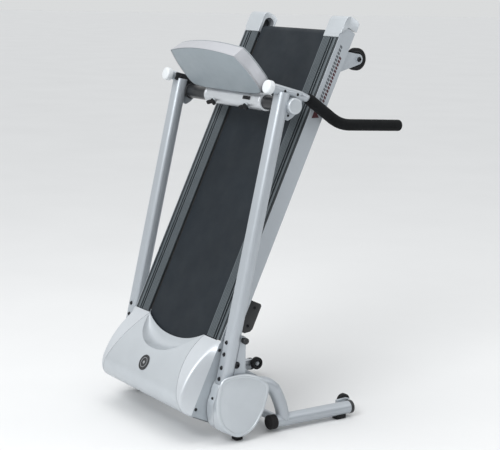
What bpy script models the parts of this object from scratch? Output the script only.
"""Folding treadmill: deck folded up between two uprights, hood at the bottom, console on top.

Units are metres, +Z is up, +X is the object's right seen from the hood, +Y points to the runner.
The base empty stands on the floor below the fold axis. The deck empty turns about the fold axis,
and the pieces of the deck are modelled flat under it: Y runs along the deck from the front end of
the foot rails, Z is the height above the top of the foot rails.
"""
import math

import bmesh
import bpy
from mathutils import Vector

# ---------------------------------------------------------------- driving dimensions
GAP = 0.0003                    # air between neighbours that touch on the real machine
CLEAR = 0.001                   # air around a piece that passes through a plastic cover
ORIGIN_TO_FOLD_AXIS_Y = -0.2643  # the fold axis lies in front of the middle of the footprint
FOLD_AXIS_Z = 0.140
FOLD_ANGLE = math.radians(65.24)   # deck raised from level to folded
PIVOT_PIN_R = 0.010

RAIL_START = 0.1815             # fold axis to the front end of the foot rails, along the deck
RAIL_TOP = 0.1126               # fold axis to the top of the foot rails, across the deck
RAIL_LENGTH = 1.139
BELT_HALF = 0.200               # running belt, half width
RAIL_INNER_X = 0.2075
MEMBER_OUTER_X = 0.300          # outer face of the deck's side members
MEMBER_DEPTH = 0.059
MEMBER_FRONT = -0.240
MEMBER_POINT = 1.184
CAP_OUTER_X = 0.3035
CAP_END = 1.225
BELT_TOP = -0.006
BELT_THICK = 0.002
BOARD_THICK = 0.018
ROLLER_R = 0.0225
FRONT_ROLLER_Y = -0.075
REAR_ROLLER_Y = 1.149
DRUM_HALF = 0.203

HOOD_X = 0.3035                 # side wall of the hood
HOOD_WALL = 0.003
HOOD_NOSE = -0.279
HOOD_FLOOR = -0.147
HOOD_SHOULDER_X = 0.286
HOOD_INSIDE = (0, -0.14, -0.06)  # a point under the hood

MOTOR_Y, MOTOR_Z, MOTOR_R = -0.185, -0.045, 0.041
DRIVE_X = -0.214                # middle of the ribbed drive belt
BIG_PULLEY_R, SMALL_PULLEY_R = 0.036, 0.014

DECK_WHEEL_R = 0.040
DECK_WHEEL_X, DECK_WHEEL_Y, DECK_WHEEL_Z = 0.2735, 1.107, -0.120

UPRIGHT_X = 0.337
UPRIGHT_LEAN = math.radians(12.64)
UPRIGHT_FOOT_Y = -0.0845        # where the upright's axis meets the floor plane
UPRIGHT_W, UPRIGHT_D, UPRIGHT_CORNER, UPRIGHT_WALL = 0.056, 0.043, 0.016, 0.002
UPRIGHT_BOTTOM_Z, UPRIGHT_TOP_Z = 0.125, 1.198

TUBE_X = 0.331                  # floor tubes
TUBE_R, TUBE_WALL = 0.0235, 0.002
TUBE_Z = 0.0360
TUBE_FRONT_Y, TUBE_REAR_Y = 0.163, 0.523
BRACKET_X0, BRACKET_X1 = 0.318, 0.356
BRACKET_REAR_Y, BRACKET_TOP_Z, BRACKET_BOTTOM_Z = 0.041, 0.372, 0.045
CARRY_WHEEL_R = 0.025
CARRY_WHEEL_X, CARRY_WHEEL_Y, CARRY_WHEEL_Z = 0.288, 0.5235, 0.049
LOCK_Y, LOCK_Z, LOCK_R = 0.030, 0.360, 0.005
GUSSET_X0, GUSSET_X1 = 0.326, 0.336   # stiffening plate between the bracket and the arched tube
FRONT_FOOT = ((0.322, 0.008, 0.0), (0.352, 0.038, 0.0447))

COVER_X0, COVER_SPLIT, COVER_X1, COVER_WALL = 0.308, 0.350, 0.380, 0.003

CROSSBAR_Y, CROSSBAR_Z, CROSSBAR_R = 0.216, 1.159, 0.025
CROSSBAR_HALF = 0.366
SLEEVE_R, SLEEVE_LEFT, SLEEVE_RIGHT = 0.031, -0.168, 0.2035
CONSOLE_TILT = math.radians(40)
CONSOLE_BACK_Y = -0.0093        # back panel, measured from the crossbar's axis
CONSOLE_DEPTH = 0.050
KNOB_X, KNOB_DROP = 0.108, math.radians(35)

BAR_POINTS = [(0.138, 1.2223), (0.288, 1.1845), (0.435, 1.083), (0.680, 1.0700)]
BAR_FRONT_R, BAR_REAR_R = 0.0165, 0.0135
GRIP_R, GRIP_END_Y = 0.0205, 0.700


# ---------------------------------------------------------------- materials and objects
def make_material(name, colour, roughness, metallic=0.0):
    material = bpy.data.materials.new(name)
    material.use_nodes = True
    shader = material.node_tree.nodes["Principled BSDF"]
    shader.inputs["Base Color"].default_value = (*colour, 1.0)
    shader.inputs["Roughness"].default_value = roughness
    shader.inputs["Metallic"].default_value = metallic
    return material


def empty(name, location=(0, 0, 0), rotation_x=0.0, parent=None):
    holder = bpy.data.objects.new(name, None)
    holder.location = location
    holder.rotation_euler = (rotation_x, 0, 0)
    holder.parent = parent
    bpy.context.collection.objects.link(holder)
    return holder


def add(name, bm, material, parent, location=(0, 0, 0), smooth=40):
    """Turn a bmesh into a named object; faces that meet at less than `smooth` degrees blend."""
    bmesh.ops.remove_doubles(bm, verts=bm.verts, dist=1e-6)
    bmesh.ops.recalc_face_normals(bm, faces=bm.faces)
    mesh = bpy.data.meshes.new(name)
    bm.to_mesh(mesh)
    bm.free()
    mesh.shade_smooth()
    mesh.set_sharp_from_angle(angle=math.radians(smooth))
    piece = bpy.data.objects.new(name, mesh)
    piece.location = location
    piece.parent = parent
    if material is not None:
        mesh.materials.append(material)
    bpy.context.collection.objects.link(piece)
    return piece


def tool(name, bm, parent, location=(0, 0, 0)):
    """A shape that only cuts or joins another one."""
    helper = add(name, bm, None, parent, location)
    helper.hide_render = True
    helper.display_type = "WIRE"
    return helper


def combine(piece, helper, operation):
    modifier = piece.modifiers.new(operation.title(), "BOOLEAN")
    modifier.operation = operation
    modifier.object = helper
    modifier.solver = "EXACT"


def cut(piece, helper):
    combine(piece, helper, "DIFFERENCE")


def join(piece, helper):
    combine(piece, helper, "UNION")


def bevel(piece, width, segments=2):
    modifier = piece.modifiers.new("Bevel", "BEVEL")
    modifier.width = width
    modifier.segments = segments
    modifier.limit_method = "ANGLE"
    modifier.angle_limit = math.radians(50)


# ---------------------------------------------------------------- shapes
def loft(rings, closed=False):
    """A solid through rings of points; a ring of one point is a pole."""
    bm = bmesh.new()
    rows = [[bm.verts.new(p) for p in ring] for ring in rings]
    pairs = list(zip(rows, rows[1:] + rows[:1])) if closed else list(zip(rows, rows[1:]))
    for a, b in pairs:
        count = max(len(a), len(b))
        for i in range(count):
            j = (i + 1) % count
            corners = [a[i % len(a)], a[j % len(a)], b[j % len(b)], b[i % len(b)]]
            corners = list(dict.fromkeys(corners))
            if len(corners) > 2:
                bm.faces.new(corners)
    if not closed:
        for row in (rows[0], rows[-1]):
            if len(row) > 2:
                bm.faces.new(row)
    return bm


def prism(outline, x0, x1):
    """A (y, z) outline pulled along X."""
    return loft([[(x, y, z) for y, z in outline] for x in (x0, x1)])


def bar_along_y(outline, y0, y1):
    """An (x, z) outline pulled along Y."""
    return loft([[(x, y, z) for x, z in outline] for y in (y0, y1)])


def box(low, high):
    (x0, y0, z0), (x1, y1, z1) = low, high
    return prism([(y0, z0), (y1, z0), (y1, z1), (y0, z1)], x0, x1)


def turned(profile, closed=False, steps=20):
    """An (x, radius) profile turned about the X axis."""
    rings = []
    for x, r in profile:
        if r == 0:
            rings.append([(x, 0.0, 0.0)])
            continue
        angles = [2 * math.pi * i / steps for i in range(steps)]
        rings.append([(x, r * math.cos(a), r * math.sin(a)) for a in angles])
    return loft(rings, closed)


def cylinder(x0, x1, radius, steps=20):
    return turned([(x0, 0), (x0, radius), (x1, radius), (x1, 0)], steps=steps)


def rounded_path(points, radius, steps=4):
    """A (y, z) polyline whose inner corners are rounded to about `radius`."""
    path = [points[0]]
    for before, corner, after in zip(points, points[1:], points[2:]):
        start = towards(corner, before, radius)
        end = towards(corner, after, radius)
        for i in range(steps + 1):
            t = i / steps
            path.append(tuple((1 - t) ** 2 * start[k] + 2 * t * (1 - t) * corner[k] + t * t * end[k]
                              for k in (0, 1)))
    path.append(points[-1])
    return path


def towards(origin, target, distance):
    length = math.dist(origin, target)
    return tuple(origin[k] + (target[k] - origin[k]) * distance / length for k in (0, 1))


def ring_section(radius, steps=16):
    return [(radius * math.cos(2 * math.pi * i / steps), radius * math.sin(2 * math.pi * i / steps))
            for i in range(steps)]


def rounded_rectangle(width, depth, corner, steps=4):
    points = []
    for quarter, (sx, sy) in enumerate(((1, 1), (-1, 1), (-1, -1), (1, -1))):
        for i in range(steps + 1):
            a = math.pi / 2 * (quarter + i / steps)
            points.append((sx * (width / 2 - corner) + corner * math.cos(a),
                           sy * (depth / 2 - corner) + corner * math.sin(a)))
    return points


def sweep_rings(path, sections, x):
    """One ring for each point of a (y, z) path; the section's first axis is X."""
    rings = []
    for i, (y, z) in enumerate(path):
        before, after = path[max(i - 1, 0)], path[min(i + 1, len(path) - 1)]
        ty, tz = after[0] - before[0], after[1] - before[1]
        length = math.hypot(ty, tz)
        ny, nz = -tz / length, ty / length
        section = sections[i] if isinstance(sections[0], list) else sections
        rings.append([(x + u, y + v * ny, z + v * nz) for u, v in section])
    return rings


def sweep(path, sections, x=0.0):
    return loft(sweep_rings(path, sections, x))


def smooth_loop(points, steps=3):
    """A closed Catmull-Rom curve through (y, z) points."""
    curve = []
    count = len(points)
    for i in range(count):
        p0, p1, p2, p3 = (points[(i + k) % count] for k in (-1, 0, 1, 2))
        for step in range(steps):
            t = step / steps
            curve.append(tuple(
                0.5 * (2 * p1[k] + (p2[k] - p0[k]) * t
                       + (2 * p0[k] - 5 * p1[k] + 4 * p2[k] - p3[k]) * t * t
                       + (3 * p1[k] - p0[k] - 3 * p2[k] + p3[k]) * t ** 3) for k in (0, 1)))
    return curve


def shrink(outline, distance):
    """An outline moved inwards by `distance`, point by point; outlines here turn gently."""
    count = len(outline)
    area = sum(outline[i][0] * outline[(i + 1) % count][1] - outline[(i + 1) % count][0] * outline[i][1]
               for i in range(count))
    turn = 1 if area > 0 else -1
    moved = []
    for i in range(count):
        a, b = outline[i - 1], outline[(i + 1) % count]
        ty, tz = b[0] - a[0], b[1] - a[1]
        length = math.hypot(ty, tz)
        moved.append((outline[i][0] - turn * distance * tz / length,
                      outline[i][1] + turn * distance * ty / length))
    return moved


SIDES = (("left", -1), ("right", 1))


# ---------------------------------------------------------------- base
def upright_axis(z):
    return UPRIGHT_FOOT_Y + z * math.tan(UPRIGHT_LEAN)


def upright_rear(z, air=GAP):
    return upright_axis(z) + (UPRIGHT_D / 2 + air) / math.cos(UPRIGHT_LEAN)


def upright_tube(grow, z0=UPRIGHT_BOTTOM_Z, z1=UPRIGHT_TOP_Z):
    section = rounded_rectangle(UPRIGHT_W + 2 * grow, UPRIGHT_D + 2 * grow, UPRIGHT_CORNER + grow)
    return [(upright_axis(z0), z0), (upright_axis(z1), z1)], section


def arch_path():
    """Leg tube: out of the bracket, over the gap and down on to the floor tube."""
    return rounded_path([(0.020, 0.196), (0.160, 0.186), (0.204, 0.118), (0.224, TUBE_Z)], 0.045)


def bracket_outline(inset=0.0):
    z_low, z_high = BRACKET_BOTTOM_Z + inset, BRACKET_TOP_Z
    front = inset / math.cos(UPRIGHT_LEAN)
    return [(-0.028 + inset, z_low), (0.038 - inset, z_low), (BRACKET_REAR_Y - inset, z_low + 0.006),
            (BRACKET_REAR_Y - inset, z_high), (upright_rear(z_high) + front, z_high),
            (upright_rear(0.110) + front, 0.110), (-0.048 + inset, 0.100), (-0.048 + inset, 0.070)]


def gusset_outline():
    return [(0.030, 0.160), (0.030, 0.260), (0.047, 0.2545), (0.076, 0.2365), (0.109, 0.2145),
            (0.120, 0.196), (0.100, 0.180)]


def base_leg(side, sign, base, steel):
    """Bracket, arched tube, gusset, floor tube, wheel ear and fold pin, welded into one piece."""
    leg = add(f"base_leg_{side}", prism(bracket_outline(), sign * BRACKET_X0, sign * BRACKET_X1),
              steel, base)
    join(leg, tool(f"arch_{side}", sweep(arch_path(), ring_section(TUBE_R), sign * TUBE_X), base))
    floor_path = [(TUBE_FRONT_Y, TUBE_Z), (TUBE_REAR_Y, TUBE_Z)]
    join(leg, tool(f"floor_{side}", sweep(floor_path, ring_section(TUBE_R), sign * TUBE_X), base))
    ear = [(0.478, 0.038), (0.536, 0.038), (0.536, 0.058), (0.524, 0.064), (0.478, 0.060)]
    join(leg, tool(f"ear_{side}", prism(ear, sign * 0.3005, sign * 0.318), base))
    join(leg, tool(f"leg_gusset_{side}", prism(gusset_outline(), sign * GUSSET_X0, sign * GUSSET_X1), base))
    bore = ring_section(TUBE_R - TUBE_WALL)
    cut(leg, tool(f"arch_bore_{side}", sweep(arch_path(), bore, sign * TUBE_X), base))
    through = [(TUBE_FRONT_Y - 0.01, TUBE_Z), (TUBE_REAR_Y + 0.01, TUBE_Z)]
    cut(leg, tool(f"floor_bore_{side}", sweep(through, bore, sign * TUBE_X), base))
    cavity = [(y, z + (0.01 if z == BRACKET_TOP_Z else 0)) for y, z in bracket_outline(0.003)]
    cut(leg, tool(f"bracket_cavity_{side}",
                  prism(cavity, sign * (BRACKET_X0 + 0.003), sign * (BRACKET_X1 - 0.003)), base))
    cut(leg, tool(f"lock_hole_{side}", cylinder(sign * 0.30, sign * 0.37, LOCK_R + GAP), base,
                  (0, LOCK_Y, LOCK_Z)))
    join(leg, tool(f"fold_pin_{side}", cylinder(sign * 0.249, sign * 0.3535, PIVOT_PIN_R), base,
                   (0, 0, FOLD_AXIS_Z)))
    join(leg, tool(f"wheel_pin_{side}", cylinder(sign * 0.2765, sign * 0.302, 0.004, 16), base,
                   (0, CARRY_WHEEL_Y, CARRY_WHEEL_Z)))


def upright(side, sign, base, silver):
    path, section = upright_tube(0)
    post = add(f"upright_{side}", sweep(path, section, sign * UPRIGHT_X), silver, base)
    gusset = [(0.150, 1.150), (0.1995, 1.108), (0.2075, 1.108), (0.262, 1.160), (0.268, 1.184),
              (0.165, 1.205)]
    join(post, tool(f"gusset_{side}", prism(gusset, sign * 0.330, sign * 0.344), base))
    path, section = upright_tube(-UPRIGHT_WALL, UPRIGHT_BOTTOM_Z - 0.01, UPRIGHT_TOP_Z + 0.01)
    cut(post, tool(f"upright_bore_{side}", sweep(path, section, sign * UPRIGHT_X), base))
    cut(post, tool(f"crossbar_seat_{side}", cylinder(-0.38, 0.38, CROSSBAR_R + GAP), base,
                   (0, CROSSBAR_Y, CROSSBAR_Z)))
    cut(post, tool(f"crossbar_cap_seat_{side}", cylinder(sign * 0.3515, sign * 0.38, 0.0284), base,
                   (0, CROSSBAR_Y, CROSSBAR_Z)))
    cut(post, handlebar_shape(f"bar_seat_{side}", sign, GAP, base))


def foot_cover_outline():
    return smooth_loop([(-0.0670, 0.2330), (-0.0235, 0.2455), (0.0350, 0.2420), (0.0950, 0.2210),
                        (0.1265, 0.1850), (0.1166, 0.1280), (0.0985, 0.0850), (0.0618, 0.0390),
                        (0.0030, 0.0215), (-0.0534, 0.0528), (-0.0795, 0.0926), (-0.0887, 0.1400),
                        (-0.0850, 0.1850)])


def inner_cover_outline():
    """The inner cup ends just in front of the upright, so the upright's front face stays in sight."""
    return smooth_loop([(-0.0590, 0.2130), (0.0035, 0.2420), (0.0950, 0.2200), (0.1265, 0.1850),
                        (0.1166, 0.1280), (0.0985, 0.0850), (0.0618, 0.0390), (0.0030, 0.0215),
                        (-0.0679, 0.0562), (-0.0855, 0.1020), (-0.0850, 0.1431), (-0.0752, 0.1737)])


def cover_half(name, outer, x_open, x_face, sign, dome, base, plastic):
    """A cup with its mouth at x_open; the face is rounded over and a little domed."""
    direction = 1 if x_face > x_open else -1
    inner = shrink(outer, COVER_WALL)

    def ring(outline, x):
        return [(sign * x, y, z) for y, z in outline]

    inside = x_face - direction * COVER_WALL
    rings = [ring(shrink(outer, 0.011), inside), ring(inner, inside - direction * 0.007),
             ring(inner, x_open), ring(outer, x_open), ring(outer, x_face - direction * 0.008),
             ring(shrink(outer, 0.0025), x_face - direction * 0.0025), ring(shrink(outer, 0.009), x_face)]
    if dome:
        rings.append(ring(shrink(outer, 0.028), x_face + direction * dome))
    return add(name, loft(rings), plastic, base, smooth=50)


def foot_cover(side, sign, base, plastic):
    """Two cups that close over the foot of the upright."""
    halves = [cover_half(f"foot_cover_outer_{side}", foot_cover_outline(), COVER_SPLIT + GAP,
                         COVER_X1 - 0.004, sign, 0.004, base, plastic),
              cover_half(f"foot_cover_inner_{side}", inner_cover_outline(), COVER_SPLIT, COVER_X0, sign, 0,
                         base, plastic)]
    path, section = upright_tube(CLEAR, 0.118, 0.60)
    low, high = FRONT_FOOT
    foot_room = box(*sorted([(sign * (low[0] - CLEAR), low[1] - CLEAR, -0.01),
                             (sign * (high[0] + CLEAR), high[1] + CLEAR, 0.055)]))
    openings = [
        tool(f"upright_opening_{side}", sweep(path, section, sign * UPRIGHT_X), base),
        tool(f"bracket_opening_{side}", prism(
            [(-0.0350, 0.150), (BRACKET_REAR_Y + CLEAR, 0.150), (BRACKET_REAR_Y + CLEAR, 0.40),
             (0.0, 0.40)], sign * (BRACKET_X0 - CLEAR), sign * (BRACKET_X1 + CLEAR)), base),
        tool(f"leg_opening_{side}", sweep(arch_path(), ring_section(TUBE_R + CLEAR),
                                          sign * TUBE_X), base),
        tool(f"arch_opening_{side}", prism([(0.040, 0.190), (0.040, 0.300), (0.160, 0.300), (0.160, 0.180)],
                                           sign * 0.300, sign * COVER_SPLIT), base),
        tool(f"foot_opening_{side}", foot_room, base),
    ]
    for half in halves:
        for opening in openings:
            cut(half, opening)
    cut(halves[1], tool(f"pin_opening_{side}", cylinder(sign * 0.29, sign * 0.32, 0.012), base,
                        (0, 0, FOLD_AXIS_Z)))


def feet_and_plugs(side, sign, base, rubber):
    low, high = FRONT_FOOT
    front_block = box(*sorted([(sign * low[0], *low[1:]), (sign * high[0], *high[1:])]))
    front = add(f"front_foot_{side}", front_block, rubber, base)
    bevel(front, 0.003)
    rear_block = box(*sorted([(sign * 0.316, 0.452, 0.0), (sign * 0.346, 0.495, 0.020)]))
    rear = add(f"rear_foot_{side}", rear_block, rubber, base)
    bevel(rear, 0.003)
    cut(rear, tool(f"rear_foot_seat_{side}", sweep([(0.40, TUBE_Z), (0.55, TUBE_Z)],
                                                  ring_section(TUBE_R + GAP), sign * TUBE_X), base))
    boot = add(f"tube_boot_{side}", sweep([(0.157, TUBE_Z), (0.160, TUBE_Z), (0.186, TUBE_Z)],
                                          [ring_section(TUBE_R - 0.001), ring_section(TUBE_R + 0.0025),
                                           ring_section(TUBE_R + 0.0025)], sign * TUBE_X), rubber, base)
    cut(boot, tool(f"boot_bore_{side}", sweep([(TUBE_FRONT_Y - GAP, TUBE_Z), (0.25, TUBE_Z)],
                                              ring_section(TUBE_R + GAP), sign * TUBE_X), base))


def handlebar_sweep(sign, grow=0.0):
    """The bar is thicker where it is bolted to the upright and thinner inside the grip."""
    path = rounded_path(BAR_POINTS, 0.035)
    taper = BAR_POINTS[1][0] - BAR_POINTS[0][0]
    sections = []
    for y, _ in path:
        share = min((y - BAR_POINTS[0][0]) / taper, 1)
        sections.append(ring_section(BAR_FRONT_R + (BAR_REAR_R - BAR_FRONT_R) * share + grow))
    return sweep(path, sections, sign * UPRIGHT_X)


def handlebar_shape(name, sign, grow, base):
    return tool(name, handlebar_sweep(sign, grow), base)


def handlebar(side, sign, base, silver, plastic, foam):
    add(f"handlebar_{side}", handlebar_sweep(sign), silver, base)
    slope = math.atan2(BAR_POINTS[1][1] - BAR_POINTS[0][1], BAR_POINTS[1][0] - BAR_POINTS[0][0])
    start = BAR_POINTS[0]
    along = [(start[0] + d * math.cos(slope), start[1] + d * math.sin(slope))
             for d in (-0.0220, -0.0200, -0.0150, -GAP)]
    add(f"handlebar_cap_{side}", sweep(along, [ring_section(r) for r in (0.010, 0.017, 0.0225, 0.0235)],
                                       sign * UPRIGHT_X), plastic, base)
    grip_path = rounded_path([(0.288, 1.1845), BAR_POINTS[2], (GRIP_END_Y, 1.0689)], 0.035)
    grip_path[0] = (0.2915, 1.1821)
    end = grip_path[-1]
    before = grip_path[-2]
    sections = [ring_section(GRIP_R) for _ in grip_path] + [ring_section(0.0155), ring_section(0.007)]
    grip_path += [towards(end, before, -d) for d in (0.006, 0.010)]
    grip = add(f"grip_{side}", sweep(grip_path, sections, sign * UPRIGHT_X), foam, base)
    bar = handlebar_shape(f"grip_bore_{side}", sign, GAP, base)
    cut(grip, bar)


def crossbar(base, black, silver):
    bar = [(-CROSSBAR_HALF, CROSSBAR_R - 0.002), (-CROSSBAR_HALF, CROSSBAR_R),
           (CROSSBAR_HALF, CROSSBAR_R), (CROSSBAR_HALF, CROSSBAR_R - 0.002)]
    place = (0, CROSSBAR_Y, CROSSBAR_Z)
    add("crossbar", turned(bar, closed=True), black, base, place)
    for side, sign in SIDES:
        cap = [(0.3525, CROSSBAR_R + GAP), (0.3525, 0.0280), (0.3740, 0.0280), (0.3755, 0.0262),
               (0.3762, 0), (CROSSBAR_HALF + GAP, 0), (CROSSBAR_HALF + GAP, CROSSBAR_R + GAP)]
        outer = [(sign * x, r) for x, r in cap]
        add(f"crossbar_cap_{side}", turned(outer, closed=True), silver, base, place)


def cross_tube(base, steel):
    tube = add("cross_tube", cylinder(-0.3068, 0.3068, 0.015), steel, base, (0, 0.208, TUBE_Z))
    cut(tube, tool("cross_tube_bore", cylinder(-0.32, 0.32, 0.013), base, (0, 0.208, TUBE_Z)))


def carry_wheel(side, sign, base, rubber):
    holder = empty(f"transport_wheel_axis_{side}", (sign * CARRY_WHEEL_X, CARRY_WHEEL_Y, CARRY_WHEEL_Z),
                   parent=base)
    add(f"transport_wheel_{side}", wheel_shape(CARRY_WHEEL_R, 0.0043, 0.0095), rubber, holder)


def wheel_shape(radius, bore, half):
    """Tyre with a rounded tread, a recessed face and a bore."""
    rim = radius * 0.78
    profile = [(-half, bore), (half, bore), (half, radius * 0.45), (half * 0.7, radius * 0.52),
               (half * 0.7, rim), (half, rim), (half, radius * 0.93), (half * 0.72, radius),
               (-half * 0.72, radius), (-half, radius * 0.93), (-half, rim), (-half * 0.7, rim),
               (-half * 0.7, radius * 0.52), (-half, radius * 0.45)]
    return turned(profile, closed=True, steps=20)


def lock_pin(base, black):
    """Pull pin on the right bracket; its tip stops just short of the deck."""
    profile = [(0.3015, 0), (0.3015, 0.0035), (0.3035, LOCK_R), (0.3570, LOCK_R), (0.3570, 0.0085),
               (0.3610, 0.0085), (0.3640, 0.0115), (0.3740, 0.0115), (0.3770, 0.0085), (0.3775, 0)]
    holder = empty("lock_pin_axis", (0, LOCK_Y, LOCK_Z), parent=base)
    add("lock_pin", turned(profile), black, holder)


# ---------------------------------------------------------------- deck
def hood_height(y):
    """Height of the hood's skin above the rails between the rails' end and the nose."""
    t = min(max(-y / 0.205, 0), 1)
    return -0.002 + 0.070 * (1 - (1 - t) ** 2.1)


def hood_profile(start):
    """(y, z) points from `start` over the bulge, round the nose and down to the motor tray."""
    count = 6
    over = [start + (-0.205 - start) * i / count for i in range(count + 1)]
    points = [(y, hood_height(y)) for y in over]
    centre_y, centre_z, radius_y, radius_z = -0.205, 0.010, -(HOOD_NOSE + 0.205), 0.058
    for i in range(1, 5):
        a = math.pi / 2 * i / 4
        points.append((centre_y - radius_y * math.sin(a), centre_z + radius_z * math.cos(a)))
    points += [(HOOD_NOSE, -0.050), (HOOD_NOSE + 0.002, -0.110), (HOOD_NOSE + 0.010, HOOD_FLOOR)]
    return points


def seam_x(y):
    """The joint line between the hood and its side caps swings outwards towards the nose."""
    t = min(max(-y / 0.28, 0), 1)
    return 0.192 + 0.094 * t ** 1.5


def scoop(u, depth):
    """How far a scoop of that depth reaches forward at u, from -1 to 1 across the hood."""
    return -depth * (1 - abs(u) ** 2.2) - 0.0025


def open_skin(rows):
    bm = bmesh.new()
    grid = [[bm.verts.new(p) for p in row] for row in rows]
    for a, b in zip(grid, grid[1:]):
        for i in range(len(a) - 1):
            bm.faces.new((a[i], a[i + 1], b[i + 1], b[i]))
    return bm


def thicken(piece, thickness):
    modifier = piece.modifiers.new("Solidify", "SOLIDIFY")
    modifier.thickness = thickness
    modifier.offset = -1
    modifier.use_even_offset = False


def skin_object(name, bm, material, parent):
    """An open skin whose faces must point out of the machine; thickened inwards."""
    bmesh.ops.remove_doubles(bm, verts=bm.verts, dist=1e-5)
    bmesh.ops.dissolve_degenerate(bm, edges=bm.edges, dist=1e-5)
    bm.normal_update()
    middle = bm.faces[:][len(bm.faces) // 2]
    outward = middle.calc_center_median() - Vector(HOOD_INSIDE)
    if middle.normal.dot(outward) < 0:
        bmesh.ops.reverse_faces(bm, faces=bm.faces)
    mesh = bpy.data.meshes.new(name)
    bm.to_mesh(mesh)
    bm.free()
    mesh.shade_smooth()
    mesh.set_sharp_from_angle(angle=math.radians(40))
    mesh.materials.append(material)
    piece = bpy.data.objects.new(name, mesh)
    piece.parent = parent
    bpy.context.collection.objects.link(piece)
    thicken(piece, HOOD_WALL)
    return piece


def hood(deck, silver):
    """Motor cover with the scoop that the belt runs out of."""
    columns = 14
    rows = []
    for i in range(columns + 1):
        u = -1 + 2 * i / columns
        edge, lip = scoop(u, 0.046), scoop(u, 0.113)
        path = []
        for k in range(3):
            t = k / 3
            y = edge + (lip - edge) * t
            path.append((y, 0.0025 + (hood_height(lip) - 0.0025) * t ** 0.8))
        path += hood_profile(lip)
        rows.append([(u * (seam_x(y) - 0.0003), y, z) for y, z in path])
    return skin_object("hood", open_skin(rows), silver, deck)


def hood_side(side, sign, deck, silver):
    """Side cap: from the joint line over the shoulder, down a leaf-shaped facet to a flat wall."""
    profile = hood_profile(-0.0025)
    seam = [(sign * (seam_x(y) + 0.0003), y, z) for y, z in profile]
    shoulder = [(sign * max(HOOD_SHOULDER_X, seam_x(y) + 0.001), y, z) for y, z in profile]
    wall = [(sign * HOOD_X, y, min(z, 0.004 if y < -0.01 else z)) for y, z in profile]
    bottom = [(sign * HOOD_X, max(y, HOOD_NOSE + 0.010), HOOD_FLOOR + 0.06 * max(1 + y / 0.11, 0))
              for y, z in profile]
    cap = skin_object(f"hood_side_{side}", open_skin([seam, shoulder, wall, bottom]), silver, deck)
    cut(cap, tool(f"hood_pin_opening_{side}", cylinder(sign * 0.28, sign * 0.33, 0.014), deck,
                  (0, -RAIL_START, -RAIL_TOP)))


def side_member(side, sign, deck, silver):
    """Channel along the deck, open inwards, with an ear for the fold pin at its front end."""
    x2, x1, x0 = MEMBER_OUTER_X, MEMBER_OUTER_X - 0.003, 0.264
    top, bottom = -0.0275, -MEMBER_DEPTH
    channel = [(x2, 0.0), (x2, bottom), (x0, bottom), (x0, bottom + 0.003), (x1, bottom + 0.003),
               (x1, top - 0.003), (x0, top - 0.003), (x0, top), (x1, top), (x1, 0.0)]
    member = add(f"side_member_{side}", bar_along_y([(sign * x, z) for x, z in channel], -0.0015,
                                                    MEMBER_POINT), silver, deck)
    ear = [(-0.215, -0.030), (0.060, -0.030), (0.060, -0.0565), (-0.125, -0.0565),
           (-0.150, -0.142), (-0.215, -0.142)]
    join(member, tool(f"pivot_ear_{side}", prism(ear, sign * 0.2600, sign * 0.2665), deck))
    point = [(RAIL_LENGTH + 0.004, 0.01), (MEMBER_POINT, -0.021), (MEMBER_POINT - 0.008, -0.07),
             (1.30, -0.07), (1.30, 0.01)]
    cut(member, tool(f"member_point_{side}", prism(point, sign * 0.25, sign * 0.31), deck))
    cut(member, tool(f"pivot_hole_{side}", cylinder(sign * 0.24, sign * 0.28, PIVOT_PIN_R + GAP), deck,
                     (0, -RAIL_START, -RAIL_TOP)))


def foot_rail(side, sign, deck, dark):
    """Ribbed strip beside the belt that the runner stands on."""
    ribs = 7
    x0, x1 = RAIL_INNER_X, MEMBER_OUTER_X - 0.003 - GAP
    section = [(x0, -0.0082), (x0, -0.0015), (x0 + 0.0020, 0.0)]
    pitch = 0.0085
    start = x0 + 0.0060
    for i in range(ribs):
        a = start + i * pitch
        section += [(a, 0.0), (a + 0.0012, 0.0015), (a + 0.0042, 0.0015), (a + 0.0054, 0.0)]
    section += [(x1, 0.0), (x1, -0.0082)]
    add(f"foot_rail_{side}", bar_along_y([(sign * x, z) for x, z in section], 0.0, RAIL_LENGTH), dark, deck)


def deck_board(deck, wood):
    top = BELT_TOP - BELT_THICK - 0.0005
    add("deck_board", box((-0.262, 0.010, top - BOARD_THICK), (0.262, 1.105, top)), wood, deck)


def roller_height():
    return BELT_TOP - BELT_THICK - ROLLER_R - GAP


def running_belt(deck, black):
    """Endless band round the two rollers."""
    z = roller_height()

    def loop(radius):
        points = []
        for centre, first in ((REAR_ROLLER_Y, -math.pi / 2), (FRONT_ROLLER_Y, math.pi / 2)):
            for i in range(13):
                a = first + math.pi * i / 12
                points.append((centre + radius * math.cos(a), z + radius * math.sin(a)))
        return points

    inner, outer = loop(ROLLER_R + GAP), loop(ROLLER_R + GAP + BELT_THICK)
    rings = [[(x, y, z_) for y, z_ in outline] for x, outline in
             ((-BELT_HALF, inner), (-BELT_HALF, outer), (BELT_HALF, outer), (BELT_HALF, inner))]
    add("running_belt", loft(rings, closed=True), black, deck)


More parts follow.
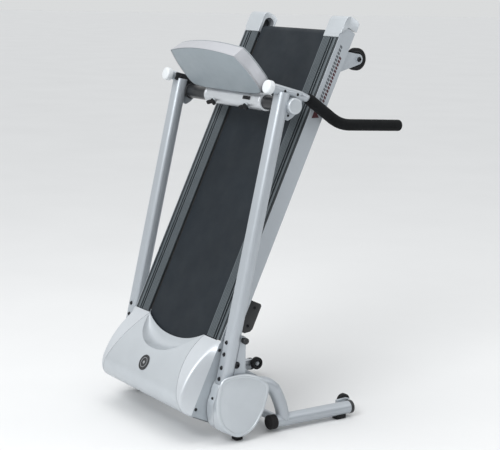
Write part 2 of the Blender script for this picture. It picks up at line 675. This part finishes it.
def rollers(deck, steel):
    z = roller_height()
    front = empty("front_roller_axis", (0, FRONT_ROLLER_Y, z), parent=deck)
    pulley = [(-0.2590, 0), (-0.2590, 0.008), (-0.2265, 0.008), (-0.2265, BIG_PULLEY_R + 0.002),
              (-0.2245, BIG_PULLEY_R + 0.002), (-0.2235, BIG_PULLEY_R - 0.0015),
              (-0.2050, BIG_PULLEY_R - 0.0015), (-0.2040, BIG_PULLEY_R + 0.002),
              (-0.2030, BIG_PULLEY_R + 0.002), (-0.2030, ROLLER_R), (DRUM_HALF, ROLLER_R),
              (DRUM_HALF, 0.008), (0.2590, 0.008), (0.2590, 0)]
    add("front_roller", turned(pulley, steps=24), steel, front)
    rear = empty("rear_roller_axis", (0, REAR_ROLLER_Y, z), parent=deck)
    plain = [(-0.2380, 0), (-0.2380, 0.008), (-DRUM_HALF, 0.008), (-DRUM_HALF, ROLLER_R),
             (DRUM_HALF, ROLLER_R), (DRUM_HALF, 0.008), (0.2380, 0.008), (0.2380, 0)]
    add("rear_roller", turned(plain, steps=24), steel, rear)


def drive(deck, steel, dark, rubber, green):
    """Motor with its pulley, the ribbed belt to the front roller, and the controller."""
    place = (0, MOTOR_Y, MOTOR_Z)
    can = [(-0.1960, 0), (-0.1960, 0.012), (-0.1900, 0.012), (-0.1900, MOTOR_R - 0.004),
           (-0.1860, MOTOR_R), (-0.0200, MOTOR_R), (-0.0160, MOTOR_R - 0.004), (-0.0160, 0.016),
           (-0.0060, 0.014), (-0.0060, 0)]
    add("motor", turned(can, steps=24), dark, deck, place)
    axis = empty("motor_pulley_axis", place, parent=deck)
    groove = SMALL_PULLEY_R - 0.0015
    pulley = [(-0.2290, 0), (-0.2290, SMALL_PULLEY_R + 0.002), (-0.2265, SMALL_PULLEY_R + 0.002),
              (-0.2250, groove), (-0.2050, groove), (-0.2035, SMALL_PULLEY_R + 0.002),
              (-0.2010, SMALL_PULLEY_R + 0.002), (-0.2010, 0.006), (-0.1965, 0.006), (-0.1965, 0)]
    add("motor_pulley", turned(pulley), steel, axis)
    centres = [((FRONT_ROLLER_Y, roller_height()), BIG_PULLEY_R), ((MOTOR_Y, MOTOR_Z), SMALL_PULLEY_R)]
    dy = centres[0][0][0] - centres[1][0][0]
    dz = centres[0][0][1] - centres[1][0][1]
    heading = math.atan2(dz, dy)
    spread = math.acos((centres[1][1] - centres[0][1]) / math.hypot(dy, dz))

    def loop(grow):
        points = []
        for (centre, radius), first, span in ((centres[0], heading - spread, 2 * spread),
                                              (centres[1], heading + spread, 2 * (math.pi - spread))):
            for i in range(13):
                a = first + span * i / 12
                points.append((centre[0] + (radius + grow) * math.cos(a),
                               centre[1] + (radius + grow) * math.sin(a)))
        return points

    rings = [[(x, y, z) for y, z in outline] for x, outline in
             ((DRIVE_X - 0.008, loop(-0.0011)), (DRIVE_X - 0.008, loop(0.0014)),
              (DRIVE_X + 0.008, loop(0.0014)), (DRIVE_X + 0.008, loop(-0.0011)))]
    add("drive_belt", loft(rings, closed=True), rubber, deck)
    board = add("motor_controller", box((0.030, -0.250, -0.1395), (0.200, -0.110, -0.098)), green, deck)
    bevel(board, 0.003)


def motor_tray(deck, steel):
    """Steel tray under the motor that ties the two side members together."""
    outline = [(-0.2580, -0.1420), (-0.2580, -0.0700), (-0.2550, -0.0700), (-0.2550, -0.1400),
               (0.2550, -0.1400), (0.2550, -0.0700), (0.2580, -0.0700), (0.2580, -0.1420)]
    tray = add("motor_tray", bar_along_y(outline, -0.262, -0.090), steel, deck)
    cradle = [(-0.232, -0.1405), (-0.138, -0.1405), (-0.152, MOTOR_Z - 0.036), (-0.218, MOTOR_Z - 0.036)]
    join(tray, tool("motor_cradle", prism(cradle, -0.175, -0.030), deck))
    cut(tray, tool("motor_seat", cylinder(-0.20, 0.0, MOTOR_R + GAP, 24), deck, (0, MOTOR_Y, MOTOR_Z)))
    for side, sign in SIDES:
        cut(tray, tool(f"tray_pin_hole_{side}", cylinder(sign * 0.24, sign * 0.27, 0.0135), deck,
                       (0, -RAIL_START, -RAIL_TOP)))


def rear_cross_member(deck, steel):
    outline = [(0.95, -0.0495), (0.99, -0.0495), (0.99, -0.0300), (0.95, -0.0300)]
    add("rear_cross_member", prism(outline, -0.2637, 0.2637), steel, deck)


def end_cap(side, sign, deck, silver):
    """Moulded cap over the end of rail, side member and rear roller."""
    outline = [(RAIL_LENGTH + 0.0005, 0.0022), (1.205, 0.0022), (CAP_END - 0.006, -0.004), (CAP_END, -0.014),
               (CAP_END - 0.004, -0.050), (CAP_END - 0.012, -0.0610), (RAIL_LENGTH + 0.0005, -0.0610)]
    cap = add(f"end_cap_{side}", prism(outline, sign * (RAIL_INNER_X - 0.001), sign * CAP_OUTER_X),
              silver, deck)
    bevel(cap, 0.004)
    z = roller_height()
    slot_r = 0.0215
    slot = [(1.149 + slot_r * math.cos(a), z + slot_r * math.sin(a))
            for a in (math.pi / 2 + math.pi * i / 10 for i in range(11))]
    slot += [(1.186 + slot_r * math.cos(a), z + slot_r * math.sin(a))
             for a in (-math.pi / 2 + math.pi * i / 10 for i in range(11))]
    cut(cap, tool(f"cap_pocket_{side}", prism(slot, sign * 0.20, sign * 0.252), deck))
    seat = [(1.10, 0.02), (RAIL_LENGTH + 0.0045, 0.02), (RAIL_LENGTH + 0.0045, 0.0098),
            (MEMBER_POINT + 0.0008, -0.0208), (MEMBER_POINT - 0.0072, -0.07), (1.10, -0.07)]
    cut(cap, tool(f"cap_seat_{side}", prism(seat, sign * (MEMBER_OUTER_X - 0.0033), sign * 0.32), deck))
    flange = [(1.10, -0.0267), (MEMBER_POINT + 0.0008, -0.0267), (MEMBER_POINT + 0.0008, -0.07),
              (1.10, -0.07)]
    cut(cap, tool(f"cap_flange_seat_{side}", prism(flange, sign * 0.2635, sign * 0.32), deck))


def deck_wheel(side, sign, deck, silver, rubber):
    """Wheel under the rear end that the deck lands on, with its bracket."""
    y, z = DECK_WHEEL_Y, DECK_WHEEL_Z
    nose = [(y + 0.019 * math.cos(a), z + 0.019 * math.sin(a))
            for a in (math.radians(d) for d in range(-140, 31, 17))]
    plate = [(1.030, -0.0593)] + nose + [(1.110, -0.0593)]
    bracket = add(f"wheel_bracket_{side}", prism(plate, sign * 0.2872, sign * 0.2907), silver, deck)
    foot = box(*sorted([(sign * 0.2655, 1.030, -0.0625), (sign * 0.2907, 1.110, -0.0593)]))
    join(bracket, tool(f"bracket_foot_{side}", foot, deck))
    join(bracket, tool(f"wheel_axle_{side}", cylinder(sign * 0.2590, sign * 0.2950, 0.005, 16), deck,
                       (0, y, z)))
    join(bracket, tool(f"axle_head_{side}", cylinder(sign * 0.2905, sign * 0.2955, 0.009, 18), deck,
                       (0, y, z)))
    holder = empty(f"deck_wheel_axis_{side}", (sign * DECK_WHEEL_X, y, z), parent=deck)
    add(f"deck_wheel_{side}", wheel_shape(DECK_WHEEL_R, 0.0053, 0.0120), rubber, holder)


def lock_block(deck, black):
    """Striker under the right side member, beside the pull pin when the deck is folded."""
    outline = [(0.054, -0.0594), (0.170, -0.0594), (0.170, -0.104), (0.164, -0.110), (0.078, -0.110),
               (0.066, -0.104), (0.054, -0.084)]
    block = add("lock_block", prism(outline, 0.266, 0.2995), black, deck)
    bevel(block, 0.002)


# ---------------------------------------------------------------- console
def console_outline(front):
    """(x, z) outline above the crossbar's axis: arched top, sharp upper corners, round lower ones."""
    if front:
        side = [(0.200, 0.214), (0.212, 0.160), (0.214, 0.110), (0.206, 0.078), (0.186, 0.062),
                (0.120, 0.056)]
        crown, base_z = 0.020, 0.055
    else:
        side = [(0.212, 0.2207), (0.230, 0.165), (0.236, 0.110), (0.233, 0.072), (0.205, 0.050),
                (0.140, 0.042)]
        crown, base_z = 0.023, 0.040
    corner = side[0]
    arch = [(corner[0] * (1 - i / 4), corner[1] + crown * (1 - (1 - i / 4) ** 2)) for i in range(1, 4)]
    right = side[::-1] + arch
    left = [(-x, z) for x, z in reversed(right)]
    return [(0.0, base_z)] + right + [(0.0, corner[1] + crown)] + left


def console(axis, silver, glass, black, red, grey):
    sleeve_web = [(0.0, 0.026), (0.006, 0.026), (0.006, 0.120), (0.0, 0.120)]
    bore = CROSSBAR_R + 0.0008
    wall = [(SLEEVE_LEFT, bore), (SLEEVE_LEFT, SLEEVE_R), (SLEEVE_RIGHT, SLEEVE_R), (SLEEVE_RIGHT, bore)]
    sleeve = add("console_sleeve", turned(wall, closed=True, steps=24), silver, axis)
    join(sleeve, tool("sleeve_web", prism(sleeve_web, -0.110, 0.110), axis))
    for side, sign in SIDES:
        clamp_knob(side, sign, axis, sleeve, black)

    back_y, front_y = CONSOLE_BACK_Y, CONSOLE_BACK_Y + CONSOLE_DEPTH
    back, front = console_outline(False), console_outline(True)
    mid = mid_of(back, front, 0.5)

    def ring(outline, y):
        return [(x, y, z) for x, z in outline]

    inner_back, inner_front = shrink(mid_of(back, front, 0.1), 0.003), shrink(front, 0.003)
    rings = [ring(inner_back, back_y + 0.003), ring(inner_front, front_y), ring(front, front_y),
             ring(mid, (back_y + front_y) / 2), ring(back, back_y)]
    shell = add("console_back", loft(rings), silver, axis, smooth=30)
    slot = box((-0.1105, -0.0010, 0.020), (0.1105, 0.0070, 0.125))
    cut(shell, tool("web_slot", slot, axis))

    face_rings = [ring(shrink(front, 0.0035), front_y - 0.006), ring(shrink(front, 0.0035), front_y + GAP),
                  ring(front, front_y + GAP), ring(shrink(front, 0.004), front_y + 0.006),
                  ring(shrink(front, 0.030), front_y + 0.010)]
    face = add("console_face", loft(face_rings), grey, axis, smooth=30)
    top = front_y + 0.010
    cut(face, tool("display_recess", box((-0.110, top - 0.004, 0.135), (0.110, top + 0.02, 0.205)), axis))
    cut(face, tool("start_well", turned_y(0.0135, top - 0.008, top + 0.02), axis, (0.0, 0, 0.108)))
    cut(face, tool("rocker_well", box((0.052, top - 0.010, 0.096), (0.108, top + 0.02, 0.120)), axis))
    cut(face, tool("key_well", box((-0.090, top - 0.012, 0.098), (-0.060, top + 0.02, 0.118)), axis))

    lens = add("display_window", box((-0.1095, top - 0.0037, 0.1355), (0.1095, top + 0.0003, 0.2045)),
               glass, axis)
    bevel(lens, 0.001)
    start = empty("start_button_axis", (0.0, top, 0.108), parent=axis)
    add("start_stop_button", turned_y(0.0130, -0.0045, 0.0035), red, start)
    rocker = empty("speed_rocker_axis", (0.080, top - 0.004, 0.108), parent=axis)
    rock = [(-0.0270, -0.0030), (0.0270, -0.0030), (0.0270, 0.0062), (0.0, 0.0045), (-0.0270, 0.0062)]
    add("speed_rocker", loft([[(x, y, z) for x, y in rock] for z in (-0.0110, 0.0110)]), grey, rocker)
    key = add("safety_key", box((-0.0895, top - 0.0115, 0.0985), (-0.0605, top + 0.012, 0.1175)), red, axis)
    bevel(key, 0.002)


def mid_of(a, b, share):
    return [tuple(p[k] + (q[k] - p[k]) * share for k in (0, 1)) for p, q in zip(a, b)]


def turned_y(radius, y0, y1, steps=24):
    ring = [(radius * math.cos(2 * math.pi * i / steps), radius * math.sin(2 * math.pi * i / steps))
            for i in range(steps)]
    return loft([[(x, y, z) for x, z in ring] for y in (y0, y1)])


def clamp_knob(side, sign, axis, sleeve, black):
    """Wing knob whose screw passes through the sleeve's wall, pointing forwards and down."""
    holder = empty(f"clamp_knob_axis_{side}", (sign * KNOB_X, 0, 0),
                   math.pi / 2 + KNOB_DROP - CONSOLE_TILT, axis)
    tip = CROSSBAR_R + 0.0012
    stem = [(tip, 0.003), (0.0325, 0.003), (0.0325, 0.0095), (0.0430, 0.0095)]
    knob = add(f"clamp_knob_{side}", turned_z(stem), black, holder)
    join(knob, tool(f"knob_wing_{side}", box((-0.024, -0.0035, 0.0350), (0.024, 0.0035, 0.0500)), holder))
    cut(sleeve, tool(f"knob_hole_{side}", turned_z([(0.0200, 0.0033), (0.0385, 0.0033)]), holder))


def turned_z(profile, steps=18):
    rings = []
    for z, r in profile:
        rings.append([(r * math.cos(2 * math.pi * i / steps), r * math.sin(2 * math.pi * i / steps), z)
                      for i in range(steps)])
    return loft(rings)


# ---------------------------------------------------------------- assembly
def main():
    for stale in list(bpy.data.objects):
        bpy.data.objects.remove(stale, do_unlink=True)

    silver_paint = make_material("silver_paint", (0.62, 0.65, 0.68), 0.38, 0.35)
    silver_plastic = make_material("silver_plastic", (0.68, 0.71, 0.74), 0.42, 0.10)
    grey_plastic = make_material("grey_plastic", (0.45, 0.49, 0.52), 0.50)
    dark_rail = make_material("dark_rail", (0.10, 0.115, 0.125), 0.45)
    black_plastic = make_material("black_plastic", (0.018, 0.018, 0.020), 0.45)
    black_paint = make_material("black_paint", (0.020, 0.021, 0.023), 0.35, 0.20)
    belt_rubber = make_material("belt_rubber", (0.022, 0.023, 0.026), 0.75)
    foam = make_material("foam", (0.012, 0.012, 0.013), 0.90)
    rubber = make_material("rubber", (0.020, 0.020, 0.020), 0.80)
    steel = make_material("steel", (0.55, 0.56, 0.58), 0.30, 1.0)
    motor_paint = make_material("motor_paint", (0.06, 0.06, 0.065), 0.45, 0.3)
    case_metal = make_material("controller_case", (0.25, 0.27, 0.28), 0.45, 0.6)
    wood = make_material("phenolic_board", (0.12, 0.085, 0.06), 0.55)
    glass = make_material("display_glass", (0.03, 0.04, 0.045), 0.10)
    red = make_material("red_plastic", (0.55, 0.03, 0.03), 0.40)

    base = empty("base", (0, ORIGIN_TO_FOLD_AXIS_Y, 0))
    fold = empty("fold_axis", (0, 0, FOLD_AXIS_Z), FOLD_ANGLE, base)
    deck = empty("deck", (0, RAIL_START, RAIL_TOP), parent=fold)
    console_axis = empty("console_axis", (0, CROSSBAR_Y, CROSSBAR_Z), CONSOLE_TILT, base)

    for side, sign in SIDES:
        base_leg(side, sign, base, silver_paint)
        upright(side, sign, base, silver_paint)
        foot_cover(side, sign, base, silver_plastic)
        feet_and_plugs(side, sign, base, rubber)
        handlebar(side, sign, base, silver_paint, silver_plastic, foam)
        carry_wheel(side, sign, base, rubber)
        hood_side(side, sign, deck, silver_plastic)
        side_member(side, sign, deck, silver_paint)
        foot_rail(side, sign, deck, dark_rail)
        end_cap(side, sign, deck, silver_plastic)
        deck_wheel(side, sign, deck, silver_paint, rubber)
    crossbar(base, black_paint, silver_plastic)
    cross_tube(base, silver_paint)
    lock_pin(base, black_plastic)
    hood(deck, silver_plastic)
    deck_board(deck, wood)
    running_belt(deck, belt_rubber)
    rollers(deck, steel)
    drive(deck, steel, motor_paint, rubber, case_metal)
    motor_tray(deck, steel)
    rear_cross_member(deck, steel)
    lock_block(deck, black_plastic)
    console(console_axis, silver_plastic, glass, black_plastic, red, grey_plastic)


main()
